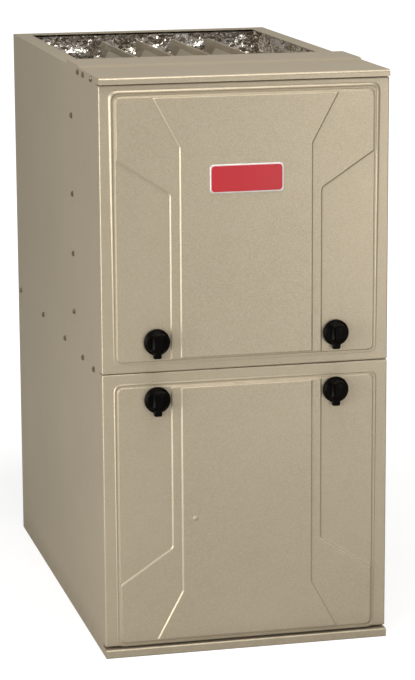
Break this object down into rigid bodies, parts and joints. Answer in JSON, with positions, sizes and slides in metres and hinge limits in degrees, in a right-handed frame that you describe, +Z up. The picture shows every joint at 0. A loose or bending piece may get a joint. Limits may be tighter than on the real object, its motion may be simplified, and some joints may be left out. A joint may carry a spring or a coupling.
{
  "type": "forced air gas furnace",
  "caption": "Upright forced air gas furnace: painted cabinet with two pressed doors on quarter-turn latches, open duct top, heat exchanger cells and a scroll blower inside.",
  "frame": {"origin": "on the floor under the middle of the furnace's width and depth", "axes": "+Z up, +X to the right seen from the front, the doors face -Y"},
  "size_m": [0.4472, 0.772, 0.889],
  "materials": {
    "casing_paint": "satin baked enamel, warm grey",
    "galvanised": "galvanised sheet with a soft spangle",
    "cell_steel": "aluminised steel, dull",
    "bare_steel": "plain ground steel",
    "black_moulding": "moulded, matt black",
    "knob_plastic": "moulded, soft gloss black",
    "black_paint": "black enamel",
    "foil_board": "aluminium foil over glass wool board",
    "fins": "thin bright fins",
    "rubber": "moulded, matt",
    "brass": "turned, plain",
    "green_board": "glass-fibre board with a green mask",
    "white_ceramic": "unglazed, off-white",
    "red_plastic": "moulded, red",
    "white_plastic": "moulded, off-white"
  },
  "bodies": {
    "casing": {"casing_wrap": "casing_paint", "casing_side": "casing_paint", "top_plate": "casing_paint", "base_pan": "casing_paint", "blower_deck": "galvanised", "center_rail": "galvanised", "cell_panel": "galvanised", "foil_liner": "foil_board", "casing_screws": "casing_paint", "heat_cell_1": "cell_steel", "heat_cell_2": "cell_steel", "heat_cell_3": "cell_steel", "heat_cell_4": "cell_steel", "coupling_box": "bare_steel", "secondary_coil": "fins", "collector_box": "black_moulding", "inducer_housing": "black_moulding", "inducer_motor": "black_paint", "vent_coupling": "rubber", "air_coupling": "rubber", "burner_box": "galvanised", "burners": "galvanised", "gas_manifold": "black_paint", "gas_orifices": "brass", "gas_valve": "galvanised", "gas_grommet": "rubber", "igniter": "white_ceramic", "flame_sensor": "white_ceramic", "rollout_switch": "black_moulding", "limit_switch": "black_moulding", "pressure_switch": "black_moulding", "pressure_tube": "rubber", "condensate_trap": "black_moulding", "drain_tube": "rubber", "blower_housing": "galvanised", "blower_motor": "black_paint", "motor_mount": "galvanised", "control_panel": "galvanised", "control_board": "green_board", "transformer": "bare_steel", "junction_box": "galvanised", "door_switch": "black_moulding"},
    "upper_door": {"upper_door": "casing_paint", "upper_door_liner": "foil_board"},
    "lower_door": {"lower_door": "casing_paint", "lower_door_liner": "foil_board"},
    "latch_upper_left": {"latch_knob_upper_left": "knob_plastic", "latch_stud_upper_left": "galvanised"},
    "latch_upper_right": {"latch_knob_upper_right": "knob_plastic", "latch_stud_upper_right": "galvanised"},
    "latch_lower_left": {"latch_knob_lower_left": "knob_plastic", "latch_stud_lower_left": "galvanised"},
    "latch_lower_right": {"latch_knob_lower_right": "knob_plastic", "latch_stud_lower_right": "galvanised"},
    "inducer_rotor": {"inducer_wheel": "galvanised"},
    "blower_rotor": {"blower_wheel": "galvanised", "blower_shaft": "bare_steel"},
    "valve_switch": {"gas_valve_switch": "black_moulding"},
    "reset_button": {"rollout_reset_button": "red_plastic"},
    "door_plunger": {"door_switch_plunger": "white_plastic"}
  },
  "joints": [
    {"name": "upper_door_tilt", "type": "hinge", "parent": "casing", "child": "upper_door", "pos_m": [0, -0.359, 0.8746], "axis": [-1, 0, 0], "range_deg": [0, 25]},
    {"name": "lower_door_tilt", "type": "hinge", "parent": "casing", "child": "lower_door", "pos_m": [0, -0.3615, 0.0144], "axis": [1, 0, 0], "range_deg": [0, 25]},
    {"name": "latch_upper_left_turn", "type": "hinge", "parent": "upper_door", "child": "latch_upper_left", "pos_m": [-0.139, -0.365, 0.489], "axis": [0, 1, 0], "range_deg": [0, 90]},
    {"name": "latch_upper_right_turn", "type": "hinge", "parent": "upper_door", "child": "latch_upper_right", "pos_m": [0.139, -0.365, 0.489], "axis": [0, -1, 0], "range_deg": [0, 90]},
    {"name": "latch_lower_left_turn", "type": "hinge", "parent": "lower_door", "child": "latch_lower_left", "pos_m": [-0.139, -0.365, 0.4005], "axis": [0, 1, 0], "range_deg": [0, 90]},
    {"name": "latch_lower_right_turn", "type": "hinge", "parent": "lower_door", "child": "latch_lower_right", "pos_m": [0.139, -0.365, 0.4005], "axis": [0, -1, 0], "range_deg": [0, 90]},
    {"name": "inducer_spin", "type": "hinge", "parent": "casing", "child": "inducer_rotor", "pos_m": [-0.052, -0.19165, 0.52836], "axis": [0, 1, 0], "continuous": true},
    {"name": "blower_spin", "type": "hinge", "parent": "casing", "child": "blower_rotor", "pos_m": [0, 0.128, 0.2149], "axis": [1, 0, 0], "continuous": true},
    {"name": "gas_switch_turn", "type": "hinge", "parent": "casing", "child": "valve_switch", "pos_m": [0.096, -0.28535, 0.737], "axis": [0, 1, 0], "range_deg": [0, 90]},
    {"name": "rollout_reset_press", "type": "slide", "parent": "casing", "child": "reset_button", "axis": [0, 0, -1], "range_m": [0, 0.0015]},
    {"name": "door_plunger_press", "type": "slide", "parent": "casing", "child": "door_plunger", "axis": [0, 1, 0], "range_m": [0, 0.004], "stiffness_N_per_m": 200}
  ]
}
